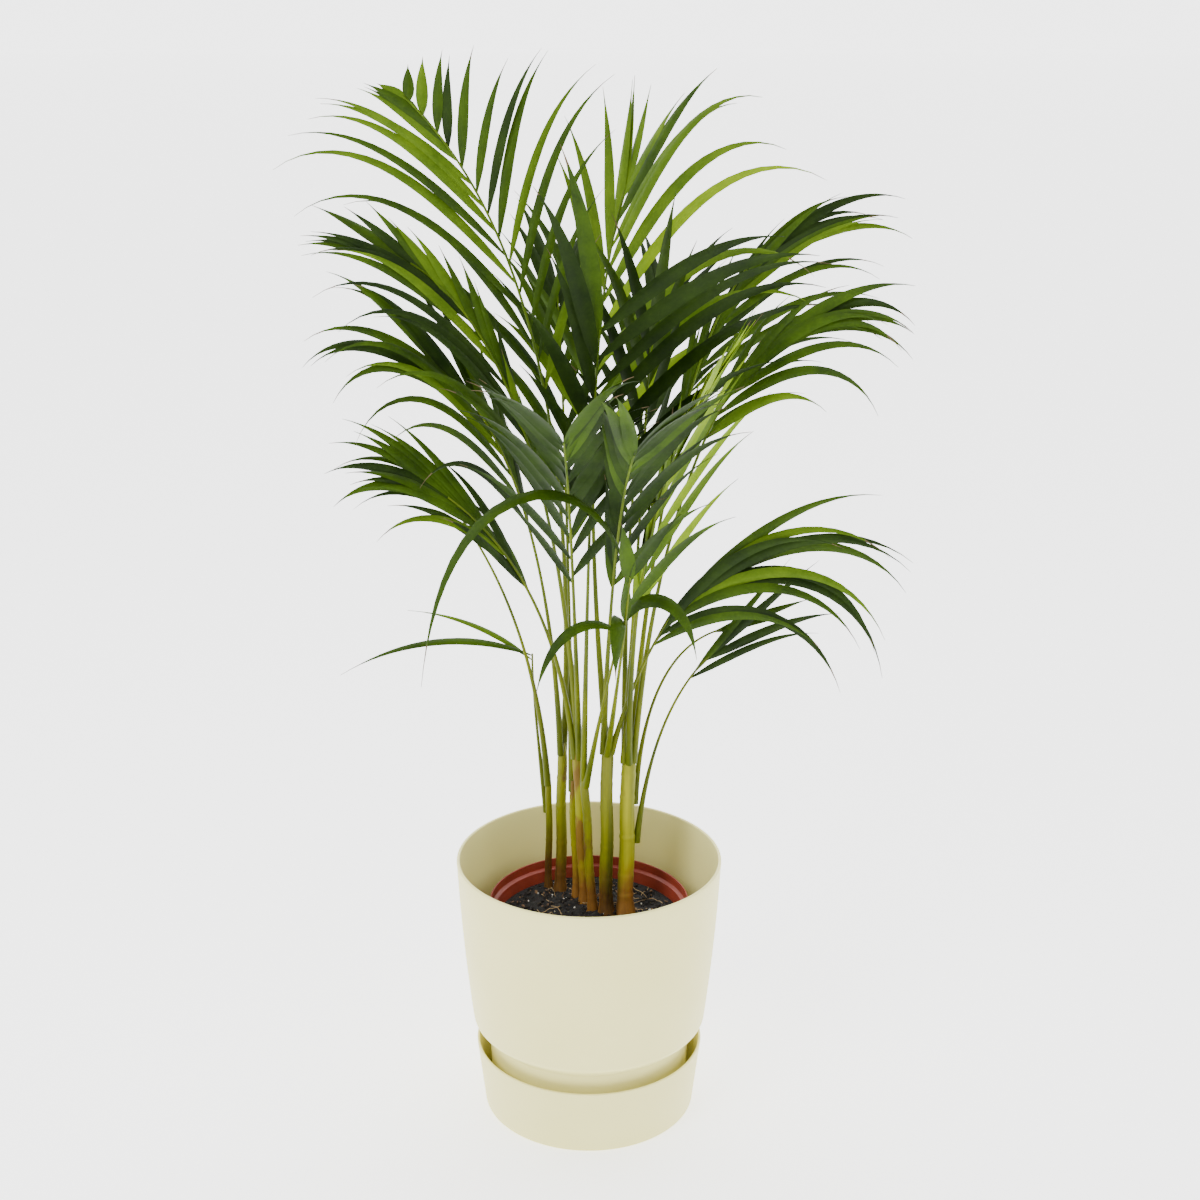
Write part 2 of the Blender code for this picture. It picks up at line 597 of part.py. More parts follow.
def main():
    for thing in list(bpy.data.objects):
        bpy.data.objects.remove(thing, do_unlink=True)
    palm = bpy.data.collections.new("potted areca palm")
    bpy.context.scene.collection.children.link(palm)
    saucer(palm)
    planter(palm)
    nursery_pot(palm)
    soil(palm)
    for key in CANES:
        cane_object(key, palm)
    bpy.context.view_layer.update()
    placed = place_leaflets()
    for frond in FRONDS:
        frond_object(frond, placed[frond.name], palm)


main()
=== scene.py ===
"""Looks of the potted areca palm: fine leaflets, canes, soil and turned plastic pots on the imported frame."""

import math
import random
from collections import namedtuple

import bmesh
import bpy
import numpy as np
from mathutils import Matrix, Vector, noise


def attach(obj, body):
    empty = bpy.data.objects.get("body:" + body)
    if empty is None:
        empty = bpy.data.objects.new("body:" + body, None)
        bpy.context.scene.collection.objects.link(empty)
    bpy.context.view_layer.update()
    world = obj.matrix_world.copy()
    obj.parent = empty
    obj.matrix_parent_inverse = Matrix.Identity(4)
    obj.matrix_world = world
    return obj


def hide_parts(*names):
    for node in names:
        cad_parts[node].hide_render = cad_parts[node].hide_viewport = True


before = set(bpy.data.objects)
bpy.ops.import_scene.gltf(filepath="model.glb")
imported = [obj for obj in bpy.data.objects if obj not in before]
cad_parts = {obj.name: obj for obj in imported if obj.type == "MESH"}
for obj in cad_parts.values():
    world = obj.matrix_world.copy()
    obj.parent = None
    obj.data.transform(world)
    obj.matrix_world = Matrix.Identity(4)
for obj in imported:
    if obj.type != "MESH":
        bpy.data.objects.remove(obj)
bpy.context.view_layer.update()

# The photograph's camera, fitted to the rims of the pot: distance, height, pitch, focal length and shift.
CAMERA_DISTANCE = 1.548
CAMERA_HEIGHT = 1.011
CAMERA_PITCH = math.radians(17.92)
CAMERA_LENS = 54.06
CAMERA_SENSOR = 36.0
CAMERA_SHIFT = 0.00917

# The pale floor and the wall behind it, their own soft glow, and the sky's strength.
FLOOR_SIZE = 400.0
WALL_DISTANCE = 60.0
FLOOR_GLOW = 1.7
SKY_STRENGTH = 0.95

# Sizes of the pots and the soil, as in the part's source, in metres.
GAP = 0.0003
SAUCER_HEIGHT = 0.0665
SAUCER_TOP_RADIUS = 0.1090
SAUCER_FOOT_RADIUS = 0.1018
SAUCER_WALL = 0.0024
SAUCER_FLOOR = 0.0040
PLANTER_HEIGHT = 0.2566
PLANTER_RADIUS = 0.1250
PLANTER_WALL = 0.0030
PLANTER_BULGE = 0.0015
SHOULDER_HEIGHT = 0.0950
SHOULDER_RADIUS = 0.1120
SHOULDER_SLOPE = math.radians(50)
SHOULDER_TURN = 0.0070
NECK_RADIUS = 0.0965
NECK_TURN = 0.0050
NECK_FOOT_RADIUS = 0.0940
NECK_FOOT_WALL = 0.0025
NECK_TAPER = 0.0005
PLANTER_FLOOR = 0.0560
PLANTER_FLOOR_EASE = 0.002
CUP_RIM_HEIGHT = 0.2108
CUP_RIM_RADIUS = 0.0950
CUP_RIM_DEPTH = 0.0100
CUP_TOP_RADIUS = 0.0915
CUP_FOOT_RADIUS = 0.0700
CUP_WALL = 0.0015
SOIL_TOP = 0.1900

# Finer turning than the solids have: steps round the pots, rows down the planter's wall, rounded corners.
TURN_STEPS = 128
WALL_ROWS = 14
SAUCER_INNER_ROUND = 0.004
SAUCER_FOOT_ROUND = 0.003
SAME_SPOT = 0.00002
SAME_TUBE_SPOT = 0.000005

# The roughened top of the soil, and what lies on it.
SOIL_RINGS = 46
SOIL_EDGE_EASE = 0.006
SOIL_ROUGHNESS = 0.0035
SOIL_GRAIN = 90
LITTER_INSET = 0.006
LITTER_HEIGHT = (-0.0005, 0.0025)
CHIP_SIZE = (0.0012, 0.0042)
CHIP_LENGTH = (0.8, 2.0)
CHIP_WIDTH = (0.5, 1.0)
CHIP_HEIGHT = (0.3, 0.7)
CHIP_UNEVEN = 0.12
GRAIN_SIZE = (0.0008, 0.0018)
GRAIN_LIFT = 0.001
FIBRE_REACH = 0.074
FIBRE_RADIUS = 0.00035
FIBRE_POINTS = 7
FIBRE_START = 0.0015
FIBRE_REST = 0.001
FIBRE_RISE = (-5, 25)
FIBRE_STEP = (0.002, 0.005)
FIBRE_WANDER = 0.35
FIBRE_SAG = 0.12

# Canes: how deep the foot goes and how far the top closes over the stalks, the flare, ring scars and sway.
CANE_DEPTH = 0.004
CANE_OVERLAP = 0.012
CANE_STEPS = 90
CANE_FLARE = 0.30
CANE_FLARE_HEIGHT = 0.012
CANE_CLOSE_LENGTH = 0.016
CANE_CLOSE_SHARE = 0.35
FIRST_RING = (0.012, 0.022)
RING_SPACING = (0.020, 0.042)
LAST_RING = 0.02
RING_HEIGHT = 0.0016
RING_SWELL = 0.07
RING_NECK = 0.006
RING_NECK_SHARE = 0.03
SWAY = 0.0005
SWAY_TURN = 70

# Stalks and ribs, and the sheath that thickens a stalk's lower part.
STALK_RADIUS = 0.0020
RIB_TIP_RADIUS = 0.0009
RIB_STEPS = 48
SHEATH_GAIN = 0.75
SHEATH_SHARE = 0.45

# The length of leaflets along a blade, how they bow back towards its foot, and how they sag.
LEAF_LOW_SHARE = 0.75
LEAF_PEAK = 0.35
LEAF_BOW = 0.8
BOW_SPAN = 0.2
SAG_AT_ROOT = 0.3
SAG_GROWTH = 2.1
SAG_TURN = 4

# How unevenly leaflets are dealt out along a rib: angles in degrees, the rest as shares.
LEFT_STAGGER = 0.3
PLACE_CHANCE = 0.1
TIP_CROWDING = 0.35
SPREAD_CHANCE = 4
LIFT_CHANCE = 8
LENGTH_CHANCE = 0.07
DROOP_CHANCE = 0.45
WIDTH_CHANCE = 0.12
LOW_WIDTH = 0.85
WIDTH_GAIN = 0.25
LAST_ROOT = 0.995

# A leaflet's blade: its half width along its length, its folded section, and the twist it may have.
LEAF_STEPS = 18
LEAF_OUTLINE = (
    (0.0, 0.16), (0.06, 0.42), (0.16, 0.78), (0.32, 1.0), (0.50, 0.92),
    (0.66, 0.68), (0.80, 0.36), (0.89, 0.13), (0.95, 0.06), (1.0, 0.02),
)
SECTION = (
    (-1.0, 0.0), (-0.52, 0.62), (0.0, 1.0), (0.52, 0.62),
    (1.0, 0.0), (0.5, 0.44), (0.0, 0.80), (-0.5, 0.44),
)
SECTION_DROP = 0.8
FOLD = 0.20
BLADE_THICKNESS = 0.00035
THREAD_HALF_WIDTH = 0.00012
LEAF_SLIM = 0.84
LEAF_TWIST = 0.35
STRAY_ROLL = 0.7
LONG_DRY_CHANCE = 0.22
SHORT_DRY_CHANCE = 0.7

UP = np.array((0.0, 0.0, 1.0))

# A cane: where its foot stands on the soil, its head in space, and its radius at both ends.
Cane = namedtuple("Cane", "foot head foot_radius head_radius")
CANES = {
    "a": Cane((-0.0400, 0.0650), (-0.039, 0.065, 0.300), 0.0036, 0.0032),
    "b": Cane((-0.0280, 0.0600), (-0.026, 0.060, 0.335), 0.0056, 0.0048),
    "c": Cane((-0.0120, 0.0480), (-0.016, 0.049, 0.300), 0.0040, 0.0032),
    "d": Cane((-0.0045, 0.0350), (-0.011, 0.037, 0.340), 0.0050, 0.0048),
    "e": Cane((0.0030, 0.0180), (-0.004, 0.017, 0.320), 0.0046, 0.0042),
    "f": Cane((0.0165, 0.0130), (0.017, 0.013, 0.355), 0.0068, 0.0058),
    "g": Cane((0.0350, 0.0150), (0.037, 0.016, 0.345), 0.0080, 0.0068),
}

# One side of a frond: its longest leaflet, the angle off the rib of its lowest leaflet and of its last one,
# the lift of the leaflets, their droop, and how late the droop comes.
Side = namedtuple("Side", "leaf low last lift droop onset", defaults=(1.0,))

# A frond: its cane, its seat on the cane's top (an azimuth) or beside it (an azimuth, a height, and how far
# out its stalk's centre lies, in stalk radii), the corner and the tip of the bend that its rib follows, the
# share of the rib where leaflets begin, how many pairs there are, the leaflet at the tip, how fast leaflets
# shorten, their width, the roll of the blade, and its right and left side.
Frond = namedtuple("Frond", "name cane seat corner tip blade pairs tip_leaf taper width roll right left")

FRONDS = [
    Frond("top_left", "b", (60,), (0.000, 0.050, 0.800), (-0.162, 0.080, 0.946),
          0.55, 13, 0.026, 1.1, 0.011, 80, Side(0.200, 20, 42, 0, 0.05), Side(0.245, 24, 14, 0, 0.11)),
    Frond("top_right", "f", (90,), (-0.016, 0.070, 0.700), (0.032, 0.100, 0.864),
          0.55, 9, 0.100, 2.2, 0.014, 0, Side(0.265, 38, 18, 5, 0.12), Side(0.175, 38, 2, 5, 0.02)),
    Frond("upright", "g", (204,), (0.045, -0.010, 0.580), (0.052, -0.020, 0.745),
          0.66, 4, 0.130, 2.0, 0.014, 0, Side(0.190, 23, 13, 0, 0.08), Side(0.120, 16, 9, 0, 0.03)),
    Frond("right_high", "g", (60,), (0.065, 0.050, 0.700), (0.140, 0.060, 0.800),
          0.60, 11, 0.150, 1.5, 0.010, -70, Side(0.185, 34, 20, 0, 0.18), Side(0.160, 6, -14, 0, 0.22, 0.6)),
    Frond("right_mid", "g", (348,), (0.062, -0.020, 0.650), (0.150, -0.050, 0.755),
          0.76, 7, 0.140, 1.5, 0.012, -70, Side(0.170, 24, 14, 0, 0.28), Side(0.170, 4, -20, 0, 0.28, 0.6)),
    Frond("bright", "g", (276,), (0.034, -0.050, 0.600), (0.090, -0.100, 0.712),
          0.42, 10, 0.085, 2.0, 0.016, -20, Side(0.110, 4, 12, 0, 0.10), Side(0.170, 30, 17, 0, 0.05)),
    Frond("low_right", "f", (0,), (0.043, -0.0086, 0.455), (0.080, -0.005, 0.505),
          0.74, 6, 0.230, 1.0, 0.013, -70, Side(0.215, 26, 12, 0, 0.26, 0.1),
          Side(0.250, 0, -12, 0, 0.20, 0.0)),
    Frond("small_right", "g", (10, 0.262, 0.9), (0.058, 0.030, 0.390), (0.112, 0.040, 0.442),
          0.86, 2, 0.130, 1.0, 0.010, -70, Side(0.165, 28, 18, 0, 0.10), Side(0.145, -2, -2, 0, 0.02)),
    Frond("thin_right", "g", (40, 0.300, 0.9), (0.052, 0.050, 0.445), (0.125, 0.060, 0.462),
          0.96, 1, 0.090, 1.0, 0.009, -60, Side(0.090, 8, 8, 0, 0.12), Side(0.090, 0, 0, 0, 0.05)),
    Frond("left_high", "d", (70,), (-0.029, -0.010, 0.740), (-0.152, 0.000, 0.812),
          0.50, 12, 0.100, 1.5, 0.011, 70, Side(0.100, 7, 4, 0, 0.14), Side(0.210, 21, 12, 0, 0.20)),
    Frond("left_front", "e", (120,), (0.000, -0.060, 0.660), (0.009, -0.090, 0.770),
          0.62, 6, 0.180, 1.5, 0.016, 0, Side(0.140, 23, 13, 0, 0.05), Side(0.255, 32, 50, 0, 0.05)),
    Frond("left_mid", "b", (240,), (-0.036, 0.020, 0.620), (-0.118, 0.010, 0.708),
          0.60, 9, 0.150, 1.5, 0.011, 60, Side(0.150, 9, 5, 0, 0.28), Side(0.200, 21, 12, 0, 0.32)),
    Frond("left_low", "d", (190,), (-0.030, 0.040, 0.520), (-0.125, 0.000, 0.606),
          0.58, 9, 0.120, 1.5, 0.012, 60, Side(0.160, 8, 3, 0, 0.30, 0.6), Side(0.150, 12, 7, 0, 0.28, 0.6)),
    Frond("left_thin", "a", (200,), (-0.050, 0.060, 0.480), (-0.128, 0.020, 0.600),
          0.80, 3, 0.050, 1.5, 0.008, 60, Side(0.060, 14, 8, 0, 0.20), Side(0.070, 14, 8, 0, 0.30)),
    Frond("lowest_left", "a", (120, 0.270, 0.45), (-0.055, 0.075, 0.390), (-0.054, 0.070, 0.434),
          0.85, 0, 0.150, 1.0, 0.009, 0, Side(0.150, 30, 30, 0, 0.30), Side(0.220, 40, 40, 0, 0.45)),
    Frond("front_bent", "f", (270,), (0.030, -0.050, 0.480), (0.035, -0.090, 0.560),
          0.75, 2, 0.080, 1.0, 0.014, 0, Side(0.070, 8, 4, 0, 0.10), Side(0.130, 28, 18, 0, 0.10)),
    Frond("front_short", "e", (300,), (0.018, -0.020, 0.450), (0.030, -0.050, 0.505),
          0.85, 0, 0.100, 1.0, 0.018, 0, Side(0.120, 50, 50, 0, 0.60), Side(0.120, 50, 50, 0, 0.60)),
    Frond("front_left", "d", (310,), (-0.015, -0.020, 0.600), (-0.020, -0.150, 0.690),
          0.50, 10, 0.140, 1.5, 0.014, 0, Side(0.150, 30, 17, 10, 0.10), Side(0.150, 30, 17, 10, 0.12)),
    Frond("front_right", "f", (180,), (0.020, -0.040, 0.600), (0.036, -0.150, 0.680),
          0.50, 10, 0.140, 1.5, 0.015, 0, Side(0.120, 6, 12, 10, 0.06), Side(0.150, 30, 17, 10, 0.10)),
    Frond("back_left", "c", (120,), (-0.020, 0.090, 0.640), (-0.030, 0.170, 0.760),
          0.50, 9, 0.110, 1.5, 0.012, 0, Side(0.140, 30, 17, 10, 0.12), Side(0.140, 30, 17, 10, 0.12)),
    Frond("back_right", "g", (132,), (0.030, 0.080, 0.620), (0.070, 0.180, 0.740),
          0.50, 9, 0.110, 1.5, 0.012, 0, Side(0.140, 30, 17, 10, 0.12), Side(0.140, 30, 17, 10, 0.12)),
]

# Single leaflets that bend out of line: their frond, their place on its rib, where they point (azimuth and
# elevation), their length, their droop and their width.
Stray = namedtuple("Stray", "frond place azimuth elevation length droop width")
STRAYS = [
    Stray("lowest_left", 0.96, 180, 42, 0.130, 0.28, 0.008),
    Stray("lowest_left", 0.99, 192, 28, 0.190, 0.27, 0.010),
    Stray("front_bent", 0.98, 200, 78, 0.330, 0.75, 0.013),
    Stray("front_short", 0.97, 345, 76, 0.115, 2.00, 0.017),
    Stray("front_short", 0.93, 200, 50, 0.118, 1.40, 0.012),
    Stray("front_short", 0.99, 262, 60, 0.080, 2.60, 0.019),
]

# The share of each leaf tint in a frond: deep, mid, fresh, bright. The tints are the leaves' own tones, and
# the deep tint, dealt heavily to the front and inner fronds, is also painted shade for the dark centre of the
# plant.
TINTS_WITH_PAINTED_SHADE = {
    "top_left": (0.15, 0.55, 0.30, 0.0),
    "top_right": (0.0, 0.15, 0.45, 0.40),
    "upright": (0.7, 0.3, 0.0, 0.0),
    "right_high": (0.35, 0.50, 0.15, 0.0),
    "right_mid": (0.30, 0.55, 0.15, 0.0),
    "bright": (0.0, 0.05, 0.35, 0.60),
    "low_right": (0.35, 0.50, 0.15, 0.0),
    "small_right": (0.2, 0.6, 0.2, 0.0),
    "thin_right": (0.2, 0.6, 0.2, 0.0),
    "left_high": (0.45, 0.45, 0.10, 0.0),
    "left_front": (0.80, 0.20, 0.0, 0.0),
    "left_mid": (0.45, 0.45, 0.10, 0.0),
    "left_low": (0.35, 0.50, 0.15, 0.0),
    "left_thin": (0.2, 0.5, 0.3, 0.0),
    "lowest_left": (0.0, 0.4, 0.6, 0.0),
    "front_bent": (0.3, 0.6, 0.1, 0.0),
    "front_short": (0.3, 0.6, 0.1, 0.0),
    # front_left and front_right are nearly all deep tint: painted shade on the fronds at the plant's centre.
    "front_left": (0.95, 0.05, 0.0, 0.0),
    "front_right": (0.75, 0.20, 0.05, 0.0),
    "back_left": (0.6, 0.4, 0.0, 0.0),
    "back_right": (0.6, 0.4, 0.0, 0.0),
}

# A leaflet: the place of its root, the way it sets off, its width direction, the rib's direction there
# (none for a stray), its length, its droop, how late the droop comes, and its width.
Leaflet = namedtuple("Leaflet", "root heading across along length droop onset width")


def unit(vector):
    return vector / np.linalg.norm(vector)


def polar(azimuth, elevation=0.0):
    turn = math.radians(azimuth)
    rise = math.radians(elevation)
    return np.array((math.cos(rise) * math.cos(turn), math.cos(rise) * math.sin(turn), math.sin(rise)))


def seat_point(frond):
    """Foot of the frond's stalk, on top of its cane or close beside it."""
    cane = CANES[frond.cane]
    out = polar(frond.seat[0])
    head = np.array(cane.head)
    if len(frond.seat) == 1:
        ring = max(0.0, cane.head_radius - STALK_RADIUS)
        return head + out * ring + UP * GAP
    foot = np.array((cane.foot[0], cane.foot[1], SOIL_TOP + GAP))
    share = (frond.seat[1] - foot[2]) / (head[2] - foot[2])
    axis = foot + (head - foot) * share
    radius = cane.foot_radius + (cane.head_radius - cane.foot_radius) * share
    return axis + out * (radius + STALK_RADIUS * frond.seat[2] + GAP)


def rib_line(frond, steps=64):
    """Points along the rib, a quadratic bend from its foot, with the share of its length at each."""
    foot = seat_point(frond)
    at = np.linspace(0, 1, steps + 1)[:, None]
    corner = np.array(frond.corner)
    points = foot * (1 - at) ** 2 + corner * (2 * at * (1 - at)) + np.array(frond.tip) * at * at
    run = np.concatenate([[0.0], np.cumsum(np.linalg.norm(np.diff(points, axis=0), axis=1))])
    return points, run / run[-1]


def on_rib(points, shares, place):
    return np.array([np.interp(place, shares, points[:, axis]) for axis in range(3)])


def rib_frame(frond, points, shares, place):
    """Direction of the rib at a place, the direction of its right leaflets, and the blade's upper side."""
    ahead = on_rib(points, shares, min(1.0, place + 0.01))
    behind = on_rib(points, shares, max(0.0, place - 0.01))
    along = unit(ahead - behind)
    level = unit(np.cross(along, UP))
    rise = np.cross(level, along)
    roll = math.radians(frond.roll)
    right = level * math.cos(roll) + rise * math.sin(roll)
    return along, right, np.cross(right, along)


def leaf_length(full, frond, place):
    """Length of a leaflet by its place on the blade: longest at about a third, short at the tip."""
    if place < LEAF_PEAK:
        return full * (LEAF_LOW_SHARE + (1 - LEAF_LOW_SHARE) * math.sin(0.5 * math.pi * place / LEAF_PEAK))
    fall = (place - LEAF_PEAK) / (1 - LEAF_PEAK)
    return full + (frond.tip_leaf - full) * fall ** frond.taper


def pair_leaflets(frond):
    """The leaflets of both sides, dealt out along the rib with seeded unevenness."""
    points, shares = rib_line(frond)
    dice = random.Random(frond.name)
    made = []
    for pair in range(frond.pairs):
        for hand, side in ((1, frond.right), (-1, frond.left)):
            place = pair + LEFT_STAGGER * (hand < 0) + PLACE_CHANCE * dice.uniform(-1, 1)
            place = min(1.0, max(0.0, place / max(1.0, frond.pairs - 1 + LEFT_STAGGER)))
            place = place * (1 + TIP_CROWDING - TIP_CROWDING * place)
            spread = side.low + (side.last - side.low) * place
            spread = math.radians(spread + SPREAD_CHANCE * dice.uniform(-1, 1))
            lift = math.radians(side.lift + LIFT_CHANCE * dice.uniform(-1, 1))
            length = leaf_length(side.leaf, frond, place) * (1 + LENGTH_CHANCE * dice.uniform(-1, 1))
            droop = side.droop * (1 + DROOP_CHANCE * dice.uniform(-1, 1))
            width = frond.width * (1 + WIDTH_CHANCE * dice.uniform(-1, 1)) * (LOW_WIDTH + WIDTH_GAIN * place)
            on_blade = frond.blade + (LAST_ROOT - frond.blade) * place
            along, right, upper = rib_frame(frond, points, shares, on_blade)
            out = right * hand * math.cos(lift) + upper * math.sin(lift)
            heading = unit(along * math.cos(spread) + out * math.sin(spread))
            across = unit(along - heading * np.dot(along, heading))
            root = on_rib(points, shares, on_blade)
            made.append(Leaflet(root, heading, across, along, length, droop, side.onset, width))
    return made


def stray_leaflets(frond):
    """The frond's single leaflets that bend out of line."""
    points, shares = rib_line(frond)
    made = []
    for stray in STRAYS:
        if stray.frond == frond.name:
            heading = polar(stray.azimuth, stray.elevation)
            across = unit(np.cross(heading, UP))
            root = on_rib(points, shares, stray.place)
            made.append(Leaflet(root, heading, across, None, stray.length, stray.droop, 0.0, stray.width))
    return made


def leaf_path(leaf, steps):
    """Centre points of a leaflet and its width direction at each, as it arches and sags."""
    spot = leaf.root.copy()
    heading = leaf.heading
    across = leaf.across
    spots = [spot.copy()]
    widths = [across]
    reach = leaf.length / BOW_SPAN / steps
    for step in range(steps):
        place = (step + 0.5) / steps
        sag = leaf.droop * ((1 - leaf.onset) + leaf.onset * (SAG_AT_ROOT + SAG_GROWTH * place * place))
        bend = -UP * sag * SAG_TURN * reach
        if leaf.along is not None:
            bend = bend - leaf.along * LEAF_BOW * 2 * place * reach
        heading = unit(heading + bend)
        spot = spot + heading * leaf.length / steps
        across = unit(across - heading * np.dot(across, heading))
        spots.append(spot.copy())
        widths.append(across)
    return np.array(spots), np.array(widths)


class Socket:
    """A shader socket that adds Math nodes when it is added to or multiplied in a Python expression."""

    def __init__(self, paint, link):
        self.paint = paint
        self.link = link

    def math(self, operation, other):
        return self.paint.node("ShaderNodeMath", {"operation": operation}, {0: self, 1: other})

    def __add__(self, other):
        return self.math("ADD", other)

    __radd__ = __add__

    def __mul__(self, other):
        return self.math("MULTIPLY", other)

    __rmul__ = __mul__


class Paint:
    """A material and its node tree."""

    def __init__(self, name, **constants):
        self.material = bpy.data.materials.new(name)
        self.material.use_nodes = True
        self.tree = self.material.node_tree
        self.shader = self.tree.nodes["Principled BSDF"]
        for socket, value in constants.items():
            self.set(self.shader.inputs[socket.replace("_", " ")], value)

    def set(self, socket, value):
        if isinstance(value, Socket):
            self.tree.links.new(value.link, socket)
        elif socket.type == "RGBA":
            socket.default_value = (*value, 1.0)
        else:
            socket.default_value = value

    def node(self, kind, settings=None, values=None, output=0):
        """A new node: its settings first, then the values or links of its sockets."""
        made = self.tree.nodes.new(kind)
        for name, value in (settings or {}).items():
            if name == "stops":
                self.set_stops(made.color_ramp, value)
            else:
                setattr(made, name, value)
        for name, value in (values or {}).items():
            self.set(made.inputs[name], value)
        return Socket(self, made.outputs[output])

    def set_stops(self, ramp, stops):
        for place, colour in stops[2:]:
            ramp.elements.new(place)
        for stop, (place, colour) in zip(ramp.elements, stops):
            stop.position = place
            stop.color = (*colour, 1.0)

    def noise(self, scale, detail=4.0, stretch=(1, 1, 1), roughness=0.55):
        """Noise on Object coordinates, drawn out where stretch is small."""
        spot = self.node("ShaderNodeTexCoord", output="Object")
        spot = self.node("ShaderNodeMapping", None, {"Vector": spot, "Scale": stretch})
        values = {"Vector": spot, "Scale": scale, "Detail": detail, "Roughness": roughness}
        return self.node("ShaderNodeTexNoise", None, values, "Fac")

    def ramp(self, factor, *stops):
        return self.node("ShaderNodeValToRGB", {"stops": stops}, {"Fac": factor})

    def mix(self, factor, first, second):
        return self.node("ShaderNodeMix", {"data_type": "RGBA"}, {"Factor": factor, 6: first, 7: second}, 2)

    def height(self):
        spot = self.node("ShaderNodeTexCoord", output="Object")
        return self.node("ShaderNodeSeparateXYZ", None, {0: spot}, 2)

    def finish(self, colour, roughness, relief, strength, depth):
        """Links what changes over the surface, its relief as a bump so strong and so deep."""
        bump = self.node("ShaderNodeBump", None, {"Height": relief, "Strength": strength, "Distance": depth})
        self.set(self.shader.inputs["Base Color"], colour)
        self.set(self.shader.inputs["Roughness"], roughness)
        self.set(self.shader.inputs["Normal"], bump)
        return self.material


def cream_plastic():
    paint = Paint("cream plastic", IOR=1.46, Specular_IOR_Level=0.45)
    tone = paint.noise(scale=9.0, detail=3.0)
    colour = paint.ramp(tone, (0.30, (0.800, 0.745, 0.290)), (0.70, (0.835, 0.780, 0.320)))
    smudge = paint.noise(scale=40.0)
    pores = paint.noise(scale=900.0, detail=2.0)
    return paint.finish(colour, 0.36 + smudge * 0.14, relief=pores, strength=0.06, depth=0.0002)


def cup_plastic():
    paint = Paint("terracotta plastic", IOR=1.46)
    tone = paint.noise(scale=24.0)
    colour = paint.ramp(tone, (0.30, (0.18, 0.022, 0.010)), (0.72, (0.27, 0.040, 0.020)))
    smudge = paint.noise(scale=70.0, detail=3.0)
    pores = paint.noise(scale=500.0, detail=3.0)
    return paint.finish(colour, 0.38 + smudge * 0.2, relief=pores, strength=0.12, depth=0.0003)


def soil_finish():
    paint = Paint("potting soil")
    crumb = paint.noise(scale=320.0, detail=8.0, roughness=0.7)
    black = (0.001, 0.0008, 0.0005)
    damp = (0.004, 0.003, 0.002)
    peat = (0.014, 0.009, 0.005)
    colour = paint.ramp(crumb, (0.30, black), (0.62, damp), (0.85, peat))
    return paint.finish(colour, 0.7 + crumb * 0.3, relief=crumb, strength=0.9, depth=0.0016)


def litter_finish(name, dark, light):
    paint = Paint(name)
    grain = paint.noise(scale=260.0, detail=6.0, stretch=(1, 1, 0.3))
    colour = paint.ramp(grain, (0.3, dark), (0.7, light))
    return paint.finish(colour, 0.75 + grain * 0.2, relief=grain, strength=0.6, depth=0.0006)


def cane_finish():
    """Streaked yellow-green, brown at the foot and in worn patches where old sheaths cling."""
    paint = Paint("cane", Specular_IOR_Level=0.25)
    streak = paint.noise(scale=60.0, detail=5.0, stretch=(1, 1, 0.06))
    blotch = paint.noise(scale=38.0, stretch=(1, 1, 0.35))
    shade = (0.055, 0.065, 0.001)
    green = (0.18, 0.19, 0.002)
    yellow = (0.36, 0.35, 0.006)
    fresh = paint.ramp(streak, (0.28, shade), (0.50, green), (0.74, yellow))
    husk = paint.ramp(streak, (0.30, (0.018, 0.009, 0.002)), (0.70, (0.22, 0.100, 0.018)))
    foot = paint.ramp(paint.height() + blotch * 0.09, (0.256, (1, 1, 1)), (0.296, (0, 0, 0)))
    patches = paint.ramp(blotch, (0.560, (0, 0, 0)), (0.63, (0.85, 0.85, 0.85)))
    colour = paint.mix(foot, paint.mix(patches, fresh, husk), husk)
    return paint.finish(colour, 0.42 + blotch * 0.3, relief=streak, strength=0.35, depth=0.0006)


def stalk_finish():
    """Yellow-green low down, turning to leaf green higher up."""
    paint = Paint("stalk", Specular_IOR_Level=0.15)
    streak = paint.noise(scale=70.0, stretch=(1, 1, 0.08))
    lowness = paint.ramp(paint.height(), (0.42, (1, 1, 1)), (0.72, (0, 0, 0)))
    low = paint.ramp(streak, (0.3, (0.040, 0.058, 0.0)), (0.7, (0.125, 0.145, 0.0)))
    high = paint.ramp(streak, (0.3, (0.030, 0.060, 0.0)), (0.7, (0.075, 0.125, 0.0)))
    colour = paint.mix(lowness, high, low)
    return paint.finish(colour, 0.38 + streak * 0.2, relief=streak, strength=0.2, depth=0.0004)


def leaf_finish(name, dark, light, roughness):
    paint = Paint(name, IOR=1.45, Specular_IOR_Level=0.12)
    cloud = paint.noise(scale=26.0, detail=5.0)
    fleck = paint.noise(scale=420.0, detail=3.0)
    colour = paint.ramp(cloud * 0.8 + fleck * 0.2, (0.34, dark), (0.66, light))
    return paint.finish(colour, roughness + cloud * 0.16, relief=fleck, strength=0.10, depth=0.0003)


def finish_piece(name, mesh, material, slot, *nodes):
    """A finished mesh as a piece that rides on the plant's one body and stands for CAD nodes."""
    piece = bpy.data.objects.new(name, mesh)
    bpy.context.scene.collection.objects.link(piece)
    if material:
        mesh.materials.append(material)
    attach(piece, "root")
    if nodes:
        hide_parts(*nodes)


def mesh_of(name, shape):
    """The bmesh as a mesh, and the bmesh freed."""
    mesh = bpy.data.meshes.new(name)
    shape.to_mesh(mesh)
    shape.free()
    return mesh


def smoothed(mesh, degrees):
    """Smooth shading, apart from edges sharper than an angle."""
    mesh.shade_smooth()
    mesh.set_sharp_from_angle(angle=math.radians(degrees))
    return mesh


